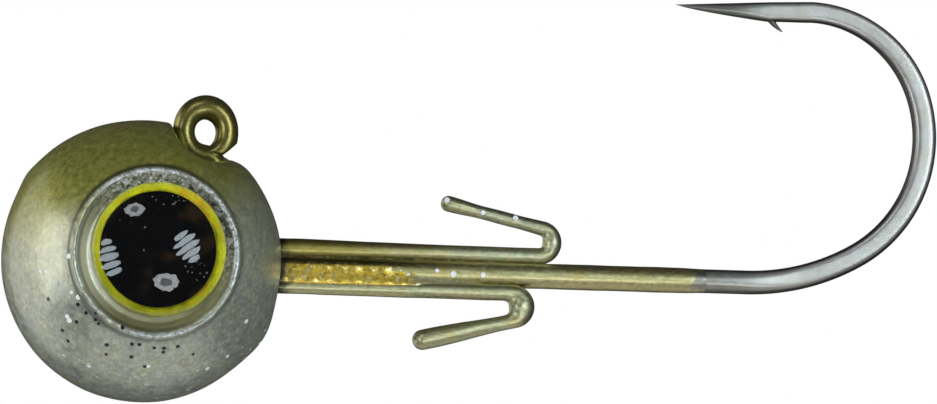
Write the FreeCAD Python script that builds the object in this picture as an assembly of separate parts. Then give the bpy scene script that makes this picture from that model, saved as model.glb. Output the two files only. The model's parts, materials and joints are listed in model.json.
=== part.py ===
import FreeCAD, Part

import math
import os

from FreeCAD import Vector

# Jig head: a round lead ball cast onto a jig hook, with two bait keeper wires and two stuck-on eyes.
# Millimetres. The origin is the centre of the line tie's hole. +X runs along the hook's shank towards
# the bend, +Z points up towards the hook's point, and -Y is the left side of the head.

# Hook
TIE_RING_R = 1.0              # line tie's ring, at the middle of the wire
TIE_WIRE_R = 0.50
TIE_HOLE_R = 0.54             # land inside the ring where the snap or the knot sits
TIE_END_ANGLE = -30.0         # where the ring's wire ends, from +X
TIE_END_GAP = 0.04
TIE_CLOSING_TURN = 60.0       # stretch of the ring that the wire's end lies beside
NECK_LEAN = 70.0              # neck's angle to the shank
NECK_TURN_R = 0.62            # reverse bend between the neck and the ring
INNER_BEND_R = 1.5            # bend inside the ball, from the neck to the shank
HOOK_WIRE_R = 0.54
SHANK_Z = -6.06
BEND_START_X = 24.7
BEND_ARCS = ((10.0, 30.0), (6.28, 77.4), (5.34, 71.1))    # radius and turn of each arc in degrees
ARM_LENGTH = 1.5
ARM_R = 0.44
FLAT_HALF = 0.42              # half the thickness of the forged bend
FLAT_START_X = 24.0
FLAT_RAMP = 1.4
POINT_BASE_R = 0.42
POINT_TIP = (21.43, 6.46)     # X and Z
POINT_TIP_R = 0.02
BARB_OUTLINE = ((25.10, 6.15), (25.30, 5.86), (26.20, 5.33), (25.91, 5.92), (25.85, 6.15))
BARB_ROOT_HALF = 0.32
BARB_TIP_HALF = 0.04

# Ball
BALL_R = 6.35
BALL_X = -2.80
BALL_Z = -5.90
TROUGH_R = 1.66               # channel across the ball that leaves room round the line tie
TROUGH_X = 0.05
TROUGH_Z = -0.15

# Eyes, a pair of standard 6 mm moulded eyes; distances from the middle plane are along Y
EYE_X = -2.62
EYE_Z = -5.98
EYE_R = 3.0
PUPIL_R = 2.60
ADHESIVE_R = 2.85
SOCKET_X = -2.66
SOCKET_Z = -6.05
SOCKET_FLOOR_Y = 4.70
SOCKET_FLOOR_R = 3.10
SOCKET_FLOOR_WALL = 0.12
SOCKET_MOUTH_R = 3.68
LIP_CREST_R = 3.80
LIP_CREST_Y = 5.22
LIP_FOOT_R = 4.15
LIP_FOOT_Y = 4.60
ADHESIVE_T = 0.08
FOIL_T = 0.10
PUPIL_T = 0.04
DOME_EDGE_T = 0.24
DOME_T = 1.05

# Keeper wires, as coated
KEEPER_R = 0.35
KEEPER_GAP = 0.02             # between a keeper's leg and the shank
FOLD_R = 0.63
TAIL_TURN_R = 0.60
TAIL_LENGTH = 1.4
SEAT_CLEARANCE = 0.02         # between an arm's round root and its seat in the fold

UPPER_LEG_Y = 0.0
UPPER_TAIL_X = 3.35
UPPER_TAIL_TURN = 70.0
UPPER_FOLD_X = 15.26
UPPER_FOLD_TURN = 167.0
UPPER_ARM_LENGTH = 4.39
UPPER_ARM_TIP_R = 0.35

LOWER_LEG_Y = -0.38
LOWER_TAIL_X = 0.60
LOWER_TAIL_TURN = 55.0
LOWER_FOLD_X = 14.07
LOWER_FOLD_TURN = 166.8
LOWER_ARM_LENGTH = 4.30
LOWER_ARM_TIP_R = 0.43

# Cured coating that bridges the grooves between the shank and the keepers' legs
BRIDGE_START_X = 3.2
BRIDGE_HALF_START = 0.42
BRIDGE_HALF_END = 0.22
BRIDGE_INNER = 0.28
BRIDGE_OUTER = 0.78
BRIDGE_END_INSET = 0.4        # how far before the fold the bridge stops

SIDES = (("left", -1.0), ("right", 1.0))
ACROSS = Vector(0, 1, 0)
FAR = 20.0                    # reaches past the whole object


def heading_vector(heading):
    """Unit vector in the XZ plane, with the heading in degrees from +X towards +Z."""
    return Vector(math.cos(math.radians(heading)), 0, math.sin(math.radians(heading)))


def disc(centre, normal, radius):
    return Part.Face(Part.Wire(Part.makeCircle(radius, centre, normal)))


def straight(start, heading, length, radius):
    """Straight wire. Returns the solid and where it ends."""
    along = heading_vector(heading)
    return Part.makeCylinder(radius, length, start, along), start + along * length


def arc_centre(start, heading, bend_r, turn):
    side = 1.0 if turn > 0 else -1.0
    return start + heading_vector(heading + 90.0 * side) * bend_r


def curved(start, heading, bend_r, turn, radius):
    """Wire bent in the XZ plane; a positive turn goes from +X towards +Z."""
    centre = arc_centre(start, heading, bend_r, turn)
    axis = ACROSS * (-1.0 if turn > 0 else 1.0)
    solid = disc(start, heading_vector(heading), radius).revolve(centre, axis, abs(turn))
    side = 1.0 if turn > 0 else -1.0
    end = centre + heading_vector(heading + turn - 90.0 * side) * bend_r
    return solid, end


def curved_taper(start, heading, bend_r, turn, start_r, end_r):
    """Bent wire that gets thinner along its length."""
    centre = arc_centre(start, heading, bend_r, turn)
    middle = centre + heading_vector(heading + turn / 2.0 - 90.0) * bend_r
    end = centre + heading_vector(heading + turn - 90.0) * bend_r
    path = Part.Wire(Part.Arc(start, middle, end).toShape())
    first = Part.Wire(Part.makeCircle(start_r, start, heading_vector(heading)))
    last = Part.Wire(Part.makeCircle(end_r, end, heading_vector(heading + turn)))
    return path.makePipeShell([first, last], True, False), end


def joined(solids):
    """One solid from pieces that meet or overlap."""
    whole = solids[0].multiFuse(solids[1:])
    return whole.removeSplitter().Solids[0]


def turned_profile(points, side, centre_x, centre_z):
    """Solid of revolution about a Y axis, from (radius, distance from the middle plane) points."""
    corners = [Vector(centre_x + r, side * y, centre_z) for r, y in points]
    outline = Part.makePolygon(corners + [corners[0]])
    return Part.Face(outline).revolve(Vector(centre_x, 0, centre_z), ACROSS, 360)


def xz_prism(points, half_width):
    corners = [Vector(x, -half_width, z) for x, z in points]
    return Part.Face(Part.makePolygon(corners + [corners[0]])).extrude(ACROSS * (2.0 * half_width))


# ---- Hook

def line_tie():
    """Ring, reverse bend and neck. Returns the solid and the neck's lower end."""
    centre_distance = TIE_RING_R + NECK_TURN_R
    neck_top = math.sqrt(centre_distance ** 2 - NECK_TURN_R ** 2)
    lean_in = math.degrees(math.atan2(NECK_TURN_R, neck_top))
    neck_turn = 90.0 - lean_in
    ring_turn = 360.0 - NECK_LEAN - lean_in - TIE_END_ANGLE
    corner_tangent = INNER_BEND_R * math.tan(math.radians(NECK_LEAN / 2.0))
    neck_length = -SHANK_Z / math.sin(math.radians(NECK_LEAN)) - neck_top - corner_tangent

    def closing_run(radius):
        """The end of the ring with the reverse bend and the neck."""
        heading = TIE_END_ANGLE + 90.0 + ring_turn - TIE_CLOSING_TURN
        start = heading_vector(heading - 90.0) * TIE_RING_R
        ring, at = curved(start, heading, TIE_RING_R, TIE_CLOSING_TURN, radius)
        turn, at = curved(at, heading + TIE_CLOSING_TURN, NECK_TURN_R, -neck_turn, radius)
        neck, at = straight(at, -NECK_LEAN, neck_length, radius)
        return joined([ring, turn, neck]), at

    closing, neck_end = closing_run(TIE_WIRE_R)
    room, _ = closing_run(TIE_WIRE_R + TIE_END_GAP)
    ring_start = heading_vector(TIE_END_ANGLE) * TIE_RING_R
    first_turn = (ring_turn - TIE_CLOSING_TURN) / 2.0
    first, at = curved(ring_start, TIE_END_ANGLE + 90.0, TIE_RING_R, first_turn, TIE_WIRE_R)
    second, _ = curved(at, TIE_END_ANGLE + 90.0 + first_turn, TIE_RING_R, first_turn, TIE_WIRE_R)
    return joined([first.cut(room), second, closing]), neck_end


def barb():
    spur = xz_prism(BARB_OUTLINE, BARB_ROOT_HALF)
    top = max(z for _, z in BARB_OUTLINE)
    tip = min(z for _, z in BARB_OUTLINE)
    section = [Vector(0, -BARB_ROOT_HALF, top), Vector(0, BARB_ROOT_HALF, top),
               Vector(0, BARB_TIP_HALF, tip), Vector(0, -BARB_TIP_HALF, tip)]
    taper = Part.Face(Part.makePolygon(section + [section[0]])).extrude(Vector(2 * FAR, 0, 0))
    return spur.common(taper)


def forging_flats():
    """What the forging dies squeeze off both sides of the bend."""
    cuts = []
    for _, side in SIDES:
        outline = [(FLAT_START_X, 2 * FLAT_HALF), (FLAT_START_X, HOOK_WIRE_R + KEEPER_GAP),
                   (FLAT_START_X + FLAT_RAMP, FLAT_HALF), (2 * FAR, FLAT_HALF), (2 * FAR, 2 * FLAT_HALF)]
        corners = [Vector(x, side * y, -FAR) for x, y in outline]
        cuts.append(Part.Face(Part.makePolygon(corners + [corners[0]])).extrude(Vector(0, 0, 2 * FAR)))
    return cuts


def make_hook():
    tie, at = line_tie()
    inner_bend, at = curved(at, -NECK_LEAN, INNER_BEND_R, NECK_LEAN, HOOK_WIRE_R)
    shank, at = straight(at, 0.0, BEND_START_X - at.x, HOOK_WIRE_R)
    runs = [tie, inner_bend, shank]
    heading = 0.0
    for bend_r, turn in BEND_ARCS[:-1]:
        run, at = curved(at, heading, bend_r, turn, HOOK_WIRE_R)
        runs.append(run)
        heading += turn
    bend_r, turn = BEND_ARCS[-1]
    run, at = curved_taper(at, heading, bend_r, turn, HOOK_WIRE_R, ARM_R)
    heading += turn
    arm, arm_end = straight(at, heading, ARM_LENGTH, ARM_R)
    tip = Vector(POINT_TIP[0], 0, POINT_TIP[1])
    point = Part.makeLoft([Part.Wire(Part.makeCircle(POINT_BASE_R, arm_end, heading_vector(heading))),
                           Part.Wire(Part.makeCircle(POINT_TIP_R, tip, heading_vector(heading)))], True)
    hook = joined(runs + [run, arm, point, barb()])
    hook = hook.cut(forging_flats())
    hole = Part.makeCylinder(TIE_HOLE_R, 2 * TIE_RING_R, Vector(0, -TIE_RING_R, 0), ACROSS)
    return hook.cut(hole).Solids[0]


# ---- Keepers

def leg_height(leg_y):
    """How far a leg's middle is above or below the shank's, when it lies against the shank."""
    distance = HOOK_WIRE_R + KEEPER_R + KEEPER_GAP
    return math.sqrt(distance ** 2 - leg_y ** 2)


def keeper_wire(above, leg_y, tail_x, tail_turn, fold_x, fold_turn):
    """Tail, leg and fold of a keeper. Returns the solid and the point where its arm begins."""
    leg_z = SHANK_Z + above * leg_height(leg_y)
    turn = math.radians(tail_turn)
    tail_x_start = tail_x - TAIL_TURN_R * math.sin(turn) - TAIL_LENGTH * math.cos(turn)
    tail_rise = TAIL_TURN_R * (1.0 - math.cos(turn)) + TAIL_LENGTH * math.sin(turn)
    start = Vector(tail_x_start, leg_y, leg_z + above * tail_rise)
    tail, at = straight(start, -above * tail_turn, TAIL_LENGTH, KEEPER_R)
    tail_bend, at = curved(at, -above * tail_turn, TAIL_TURN_R, above * tail_turn, KEEPER_R)
    leg, at = straight(at, 0.0, fold_x - at.x, KEEPER_R)
    fold, at = curved(at, 0.0, FOLD_R, above * fold_turn, KEEPER_R)
    seat = Part.makeSphere(KEEPER_R + SEAT_CLEARANCE, at)
    return joined([tail, tail_bend, leg, fold]).cut(seat), at


def keeper_arm(root, heading, length, tip_r):
    """Free end of a keeper, with a round root and a round tip."""
    along = heading_vector(heading)
    tip = root + along * length
    ball = Part.makeSphere(KEEPER_R, root)
    cap = Part.makeSphere(tip_r, tip)
    if tip_r == KEEPER_R:
        rod = Part.makeCylinder(KEEPER_R, length, root, along)
    else:
        rod = Part.makeCone(KEEPER_R, tip_r, length, root, along)
    return joined([ball, rod, cap])


def coating_bridge(leg_y, above, fold_x):
    """Coating in the grooves on both sides between the shank and one leg."""
    end_x = fold_x - BRIDGE_END_INSET
    outline = [(BRIDGE_START_X, -BRIDGE_HALF_START), (end_x, -BRIDGE_HALF_END),
               (end_x, BRIDGE_HALF_END), (BRIDGE_START_X, BRIDGE_HALF_START)]
    corners = [Vector(x, y, BRIDGE_INNER) for x, y in outline]
    slab = Part.Face(Part.makePolygon(corners + [corners[0]])).extrude(
        Vector(0, 0, BRIDGE_OUTER - BRIDGE_INNER))
    roll = math.degrees(math.atan2(-leg_y, above * leg_height(leg_y)))
    slab.rotate(Vector(0, 0, 0), Vector(1, 0, 0), roll)
    slab.translate(Vector(0, 0, SHANK_Z))
    return slab


# ---- Ball and eyes

def make_ball(inserts):
    """Cast lead ball with its trough, raised eye sockets and the room that the cast-in wires fill."""
    ball = Part.makeSphere(BALL_R, Vector(BALL_X, 0, BALL_Z))
    for _, side in SIDES:
        lip = [(SOCKET_FLOOR_R, LIP_FOOT_Y), (SOCKET_MOUTH_R, LIP_CREST_Y), (LIP_CREST_R, LIP_CREST_Y),
               (LIP_FOOT_R, LIP_FOOT_Y)]
        ball = ball.fuse(turned_profile(lip, side, SOCKET_X, SOCKET_Z))
    trough = Part.makeCylinder(TROUGH_R, 2 * BALL_R, Vector(TROUGH_X, -BALL_R, TROUGH_Z), ACROSS)
    ball = ball.cut(trough)
    for _, side in SIDES:
        pocket = [(0, SOCKET_FLOOR_Y), (SOCKET_FLOOR_R, SOCKET_FLOOR_Y),
                  (SOCKET_FLOOR_R, SOCKET_FLOOR_Y + SOCKET_FLOOR_WALL), (SOCKET_MOUTH_R, LIP_CREST_Y),
                  (SOCKET_MOUTH_R, FAR), (0, FAR)]
        ball = ball.cut(turned_profile(pocket, side, SOCKET_X, SOCKET_Z))
    for insert in inserts:
        ball = ball.cut(insert)
    return ball.Solids[0]


def eye_disc(side, bottom, thickness, radius):
    start = Vector(EYE_X, side * bottom, EYE_Z)
    return Part.makeCylinder(radius, thickness, start, ACROSS * side)


def eye_dome(side, bottom):
    """Clear cap: flat underneath, with a shallow recess for the printed pupil, and domed on top."""
    axis = Vector(EYE_X, 0, EYE_Z)

    def at(radius, height):
        return axis + Vector(radius, side * (bottom + height), 0)

    rise = DOME_T - DOME_EDGE_T
    crown_r = (EYE_R ** 2 + rise ** 2) / (2.0 * rise)
    half = math.asin(EYE_R / crown_r) / 2.0
    middle = at(crown_r * math.sin(half), DOME_T - crown_r * (1.0 - math.cos(half)))
    crown = Part.Arc(at(EYE_R, DOME_EDGE_T), middle, at(0, DOME_T)).toShape()
    below = Part.makePolygon([at(0, DOME_T), at(0, PUPIL_T), at(PUPIL_R, PUPIL_T), at(PUPIL_R, 0),
                              at(EYE_R, 0), at(EYE_R, DOME_EDGE_T)])
    outline = Part.Wire(Part.__sortEdges__([crown] + below.Edges))
    return Part.Face(outline).revolve(axis, ACROSS, 360)


def eye_parts(name, side):
    foil_bottom = SOCKET_FLOOR_Y + ADHESIVE_T
    print_bottom = foil_bottom + FOIL_T
    return {
        name + "_eye_adhesive": eye_disc(side, SOCKET_FLOOR_Y, ADHESIVE_T, ADHESIVE_R),
        name + "_eye_foil": eye_disc(side, foil_bottom, FOIL_T, EYE_R),
        name + "_eye_pupil": eye_disc(side, print_bottom, PUPIL_T, PUPIL_R),
        name + "_eye_dome": eye_dome(side, print_bottom),
    }


def main():
    hook = make_hook()
    upper_leg, upper_root = keeper_wire(1.0, UPPER_LEG_Y, UPPER_TAIL_X, UPPER_TAIL_TURN,
                                        UPPER_FOLD_X, UPPER_FOLD_TURN)
    lower_leg, lower_root = keeper_wire(-1.0, LOWER_LEG_Y, LOWER_TAIL_X, LOWER_TAIL_TURN,
                                        LOWER_FOLD_X, LOWER_FOLD_TURN)
    ball = make_ball([hook, upper_leg, lower_leg])
    nodes = {
        "hook": hook,
        "lead_ball": ball,
        "upper_keeper_leg": upper_leg,
        "upper_keeper_arm": keeper_arm(upper_root, UPPER_FOLD_TURN, UPPER_ARM_LENGTH, UPPER_ARM_TIP_R),
        "lower_keeper_leg": lower_leg,
        "lower_keeper_arm": keeper_arm(lower_root, -LOWER_FOLD_TURN, LOWER_ARM_LENGTH, LOWER_ARM_TIP_R),
        "upper_coating_bridge": coating_bridge(UPPER_LEG_Y, 1.0, UPPER_FOLD_X).cut([hook, upper_leg, ball]),
        "lower_coating_bridge": coating_bridge(LOWER_LEG_Y, -1.0, LOWER_FOLD_X).cut([hook, lower_leg, ball]),
    }
    for name, side in SIDES:
        nodes.update(eye_parts(name, side))

    os.makedirs("parts", exist_ok=True)
    for name, shape in nodes.items():
        solids = shape.Solids
        box = shape.BoundBox
        print(f"{name:24s} solids {len(solids)} valid {shape.isValid()} volume {shape.Volume:9.3f}"
              f"  x {box.XMin:7.2f} {box.XMax:7.2f}  y {box.YMin:6.2f} {box.YMax:6.2f}"
              f"  z {box.ZMin:7.2f} {box.ZMax:7.2f}")
        solid = solids[0] if len(solids) == 1 else Part.makeCompound(solids)
        solid.exportStep(f"parts/{name}.step")
    print("upper arm root", upper_root, "lower arm root", lower_root)


main()
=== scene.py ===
import json
import math

import bpy
import numpy as np
from mathutils import Matrix, Quaternion, Vector


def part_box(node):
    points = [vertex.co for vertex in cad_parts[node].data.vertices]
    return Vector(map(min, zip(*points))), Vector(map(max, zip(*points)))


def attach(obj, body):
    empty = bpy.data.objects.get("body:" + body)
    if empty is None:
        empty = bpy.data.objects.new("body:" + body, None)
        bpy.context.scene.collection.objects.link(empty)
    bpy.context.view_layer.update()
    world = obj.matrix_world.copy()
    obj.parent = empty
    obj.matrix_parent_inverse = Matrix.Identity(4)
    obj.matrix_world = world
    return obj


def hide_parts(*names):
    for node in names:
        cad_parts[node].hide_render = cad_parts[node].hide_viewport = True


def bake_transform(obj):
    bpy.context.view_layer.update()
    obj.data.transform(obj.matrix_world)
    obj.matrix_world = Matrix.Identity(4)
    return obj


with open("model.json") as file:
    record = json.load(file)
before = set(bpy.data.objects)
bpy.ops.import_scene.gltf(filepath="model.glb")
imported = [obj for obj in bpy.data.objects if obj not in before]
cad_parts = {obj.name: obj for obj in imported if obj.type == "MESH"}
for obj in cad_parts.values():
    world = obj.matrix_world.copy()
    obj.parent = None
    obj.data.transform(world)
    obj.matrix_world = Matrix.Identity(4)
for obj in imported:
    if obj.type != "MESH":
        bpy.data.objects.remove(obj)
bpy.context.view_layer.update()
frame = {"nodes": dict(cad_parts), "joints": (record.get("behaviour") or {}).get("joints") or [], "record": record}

# Lengths in this script are in millimetres until a mesh, a light or the camera is made.
MM = 0.001
SEED = 7


def box_mm(node):
    low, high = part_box(node)
    return np.array(low) / MM, np.array(high) / MM


def mount_mm(name):
    mount = next(m for m in frame["record"]["mounts"] if m["name"] == name)
    return np.array(mount["pos_m"]) / MM


def joint_mm(name):
    joint = next(j for j in frame["joints"] if j["name"] == name)
    return np.array(joint["pos_m"]) / MM


# ---- Places taken from the frame

ball_low, ball_high = box_mm("lead_ball")
BALL_R = (ball_high[0] - ball_low[0]) / 2.0
BALL = np.array([ball_low[0] + BALL_R, 0.0, ball_low[2] + BALL_R])
dome_low, dome_high = box_mm("right_eye_dome")
foil_low, foil_high = box_mm("right_eye_foil")
pupil_low, pupil_high = box_mm("right_eye_pupil")
# The eye sits a little off its nominal place, as stuck in by hand.
EYE = np.array([(dome_low[0] + dome_high[0]) / 2.0 + 0.05, 0.0, (dome_low[2] + dome_high[2]) / 2.0 + 0.08])
EYE_R = (dome_high[0] - dome_low[0]) / 2.0 - 0.02
PUPIL_R = (pupil_high[0] - pupil_low[0]) / 2.0 - 0.08
TIE = mount_mm("line_tie")
SHANK_Z = mount_mm("bait_shank")[2]
UPPER_PIVOT = joint_mm("upper_keeper_flex")
LOWER_PIVOT = joint_mm("lower_keeper_flex")
KEEPER_R = 0.35
UPPER_LEG_Z = SHANK_Z + 0.91
LOWER_LEG_Y = LOWER_PIVOT[1]
LOWER_LEG_Z = SHANK_Z - 0.827


# ---- Camera

CAMERA_AZIMUTH = math.radians(-8.5)
CAMERA_ELEVATION = math.radians(-6.4)
CAMERA_ROLL = math.radians(0.83)
CAMERA_DISTANCE = 420.0
CAMERA_AIM = Vector((11.975, 0.0, -2.798))
VIEW_WIDTH = 42.165            # what the picture's width covers at the aim point


def camera_axes():
    """Right, up and back of the camera before its roll."""
    a, e = CAMERA_AZIMUTH, CAMERA_ELEVATION
    right = Vector((math.cos(a), math.sin(a), 0.0))
    back = Vector((math.sin(a) * math.cos(e), -math.cos(a) * math.cos(e), math.sin(e)))
    return right, back.cross(right), back


RIGHT, UP, BACK = camera_axes()


def make_camera():
    data = bpy.data.cameras.new("camera")
    data.sensor_width = 36.0
    data.lens = data.sensor_width * CAMERA_DISTANCE / VIEW_WIDTH
    data.clip_start = 0.01
    data.clip_end = 10.0
    camera = bpy.data.objects.new("camera", data)
    bpy.context.scene.collection.objects.link(camera)
    across = RIGHT * math.cos(CAMERA_ROLL) + UP * math.sin(CAMERA_ROLL)
    upward = UP * math.cos(CAMERA_ROLL) - RIGHT * math.sin(CAMERA_ROLL)
    turn = Matrix((across, upward, BACK)).transposed().to_4x4()
    camera.matrix_world = Matrix.Translation((CAMERA_AIM + BACK * CAMERA_DISTANCE) * MM) @ turn
    bpy.context.scene.camera = camera


make_camera()


# ---- Shader building

def new_material(name):
    material = bpy.data.materials.new(name)
    material.use_nodes = True
    material.node_tree.nodes.clear()
    return material, material.node_tree


def add(tree, kind, sockets=None, **settings):
    """A node with its settings. A socket's value is a number, a colour or another node's output."""
    node = tree.nodes.new(kind)
    for key, value in settings.items():
        setattr(node, key, value)
    for key, value in (sockets or {}).items():
        if isinstance(value, bpy.types.NodeSocket):
            tree.links.new(value, node.inputs[key])
        else:
            node.inputs[key].default_value = value
    return node


def position(tree):
    return add(tree, "ShaderNodeTexCoord").outputs["Object"]


def noise(tree, size, detail=3.0, roughness=0.55, vector=None, output="Fac"):
    """Noise whose features are about size millimetres across."""
    node = add(tree, "ShaderNodeTexNoise", {
        "Vector": vector or position(tree), "Scale": 1.0 / (size * MM), "Detail": detail,
        "Roughness": roughness})
    return node.outputs[output]


def grains(tree, size, vector=None):
    """Cells about size millimetres across, each with its own random colour."""
    node = add(tree, "ShaderNodeTexVoronoi", {
        "Vector": vector or position(tree), "Scale": 1.0 / (size * MM)})
    return node.outputs["Color"]


def ramp(tree, value, stops):
    """Colour ramp from (position, colour) stops."""
    node = add(tree, "ShaderNodeValToRGB", {"Fac": value})
    elements = node.color_ramp.elements
    while len(elements) < len(stops):
        elements.new(0.5)
    for element, (place, shade) in zip(elements, stops):
        element.position = place
        element.color = (*shade, 1.0)
    return node.outputs["Color"]


def fit(tree, value, low, high, to_low=0.0, to_high=1.0):
    node = add(tree, "ShaderNodeMapRange", {
        "Value": value, "From Min": low, "From Max": high, "To Min": to_low, "To Max": to_high},
        interpolation_type="SMOOTHSTEP")
    return node.outputs["Result"]


def math_node(tree, operation, first, second=0.0):
    return add(tree, "ShaderNodeMath", {0: first, 1: second}, operation=operation).outputs[0]


def product(tree, first, second):
    return math_node(tree, "MULTIPLY", first, second)


def total(tree, first, second):
    return math_node(tree, "ADD", first, second)


def swing(tree, value, reach):
    """A random value's distance from its middle, as a length: reach is in millimetres."""
    return product(tree, math_node(tree, "SUBTRACT", value, 0.5), reach * MM)


def vector_math(tree, operation, *values, output="Vector"):
    return add(tree, "ShaderNodeVectorMath", dict(enumerate(values)), operation=operation).outputs[output]


def axis(tree, name):
    return add(tree, "ShaderNodeSeparateXYZ", {"Vector": position(tree)}).outputs[name]


def fit_mm(tree, value, low, high, to_low=0.0, to_high=1.0):
    """Like fit, for a length whose limits are given in millimetres."""
    return fit(tree, value, low * MM, high * MM, to_low, to_high)


def between(tree, name, low, high, to_low=0.0, to_high=1.0):
    """Goes from to_low to to_high as the place along an axis goes from low to high millimetres."""
    return fit_mm(tree, axis(tree, name), low, high, to_low, to_high)


def colour(value):
    return tuple(value) + (1.0,) if isinstance(value, (tuple, list)) else value


def mix(tree, factor, first, second, blend="MIX"):
    node = add(tree, "ShaderNodeMix", {
        "Factor": factor, 6: colour(first), 7: colour(second)}, data_type="RGBA", blend_type=blend)
    return node.outputs[2]


def tinted(tree, base, tint):
    return mix(tree, 1.0, base, tint, "MULTIPLY")


def bump(tree, height, depth, normal=None):
    """Bump whose height of 1 stands depth millimetres proud."""
    sockets = {"Height": height, "Distance": depth * MM}
    if normal is not None:
        sockets["Normal"] = normal
    return add(tree, "ShaderNodeBump", sockets).outputs["Normal"]


def attribute(tree, name):
    return add(tree, "ShaderNodeAttribute", attribute_name=name).outputs["Fac"]


def surface(tree, sockets):
    shader = add(tree, "ShaderNodeBsdfPrincipled", sockets)
    add(tree, "ShaderNodeOutputMaterial", {"Surface": shader.outputs["BSDF"]})
    return shader


# ---- Materials

OLIVE_EDGE = (-4.7, -1.9)      # heights between which the olive fades in
CREAM_EDGE = (-7.4, -4.4)      # and the cream below it
GOLD_END = (8.6, 10.2)         # along the shank, where the gold glitter gives out
CORNER_SHADE_END = (3.45, 4.0)        # along the shank, where the painted shade in the corner at the ball ends
PAINT_WORN = (22.1, 22.5)      # along the shank, where the paint is worn off


def head_paint():
    """Pearl over silver, with olive sprayed on from above and clear coat over both."""
    material, tree = new_material("head_paint")
    where = position(tree)
    slope = product(tree, axis(tree, "X"), -0.16)
    height = total(tree, axis(tree, "Z"), slope)
    edge = total(tree, height, swing(tree, noise(tree, 2.2, detail=4.0), 2.6))
    olive_share = fit_mm(tree, edge, *OLIVE_EDGE)

    fine = noise(tree, 0.22, detail=4.0, roughness=0.7)
    grain = noise(tree, 0.07, detail=2.0)
    broad = noise(tree, 0.8, detail=5.0, roughness=0.65)
    olive = ramp(tree, fine, [(0.30, (0.255, 0.245, 0.038)), (0.5, (0.350, 0.340, 0.066)),
                              (0.72, (0.460, 0.445, 0.116))])
    silver = ramp(tree, fine, [(0.28, (0.310, 0.320, 0.265)), (0.5, (0.455, 0.470, 0.395)),
                               (0.74, (0.630, 0.645, 0.540))])
    tint = ramp(tree, broad, [(0.30, (0.77, 0.80, 0.82)), (0.5, (0.98, 1.0, 0.96)),
                              (0.68, (1.0, 0.95, 0.78))])
    silver = tinted(tree, silver, tint)
    cream = mix(tree, fine, (0.34, 0.34, 0.20), (0.58, 0.57, 0.38))
    cream_share = fit_mm(tree, edge, *CREAM_EDGE, 0.0, 0.6)
    base = mix(tree, cream_share, silver, cream)
    base = mix(tree, olive_share, base, olive)
    blotch = noise(tree, 0.42, detail=6.0, roughness=0.7)
    mottle = ramp(tree, blotch, [(0.32, (0.78, 0.79, 0.76)), (0.5, (1.0, 1.0, 1.0)),
                                 (0.66, (1.16, 1.15, 1.10))])
    base = tinted(tree, base, mottle)

    flaky = attribute(tree, "flaky")
    wall_colour = mix(tree, fine, (0.24, 0.23, 0.11), (0.40, 0.38, 0.22))
    base = mix(tree, attribute(tree, "wall"), base, wall_colour)
    # The socket wall's left side lightened to cream: painted light.
    base = mix(tree, attribute(tree, "pale"), base, mix(tree, fine, (0.62, 0.60, 0.42), (0.92, 0.90, 0.72)))
    warp = noise(tree, 0.15, detail=3.0, output="Color")
    ragged = vector_math(tree, "MULTIPLY_ADD", warp, (0.22 * MM,) * 3, where)
    flakes = grains(tree, 0.13, vector=ragged)
    flake_value = add(tree, "ShaderNodeSeparateColor", {"Color": flakes}).outputs["Red"]
    flake_colour = ramp(tree, flake_value, [(0.0, (0.04, 0.04, 0.03)), (0.20, (0.18, 0.18, 0.13)),
                                            (0.60, (0.40, 0.41, 0.34)), (1.0, (0.80, 0.82, 0.78))])
    # Painted light and shade: the flakes lighter left of the eye, darker to its right.
    shaded = between(tree, "X", EYE[0] + 0.3, EYE[0] + 2.6, 1.15, 0.50)
    flake_colour = tinted(tree, flake_colour, shaded)
    base = mix(tree, flaky, base, flake_colour)
    crest_colour = mix(tree, flake_value, (0.20, 0.20, 0.17), (0.75, 0.77, 0.77))
    base = mix(tree, attribute(tree, "crest"), base, crest_colour)
    # Thin near-black rings round the socket's lip: painted shade.
    base = mix(tree, attribute(tree, "lip_shade_lines"), base, (0.045, 0.042, 0.03))

    rough = fit(tree, blotch, 0.35, 0.65, 0.28, 0.46)
    normal = bump(tree, grain, 0.006)
    normal = bump(tree, fine, 0.012, normal=normal)
    normal = bump(tree, blotch, 0.016, normal=normal)
    normal = bump(tree, product(tree, flake_value, flaky), 0.02, normal=normal)
    surface(tree, {"Base Color": base, "Metallic": 0.55, "Roughness": rough, "Normal": normal,
                   "Coat Weight": 0.5, "Coat Roughness": 0.14})
    return material


def contact_shade(tree, base):
    """Painted shade: near-black colour in the corner where the wires leave the ball."""
    patchy = swing(tree, noise(tree, 0.3, detail=3.0), 0.9)
    unshaded = fit_mm(tree, total(tree, axis(tree, "X"), patchy), *CORNER_SHADE_END)
    low = between(tree, "Z", -1.8, -2.6)
    share = product(tree, math_node(tree, "SUBTRACT", 1.0, unshaded), low)
    return mix(tree, share, base, (0.05, 0.045, 0.025))


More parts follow.
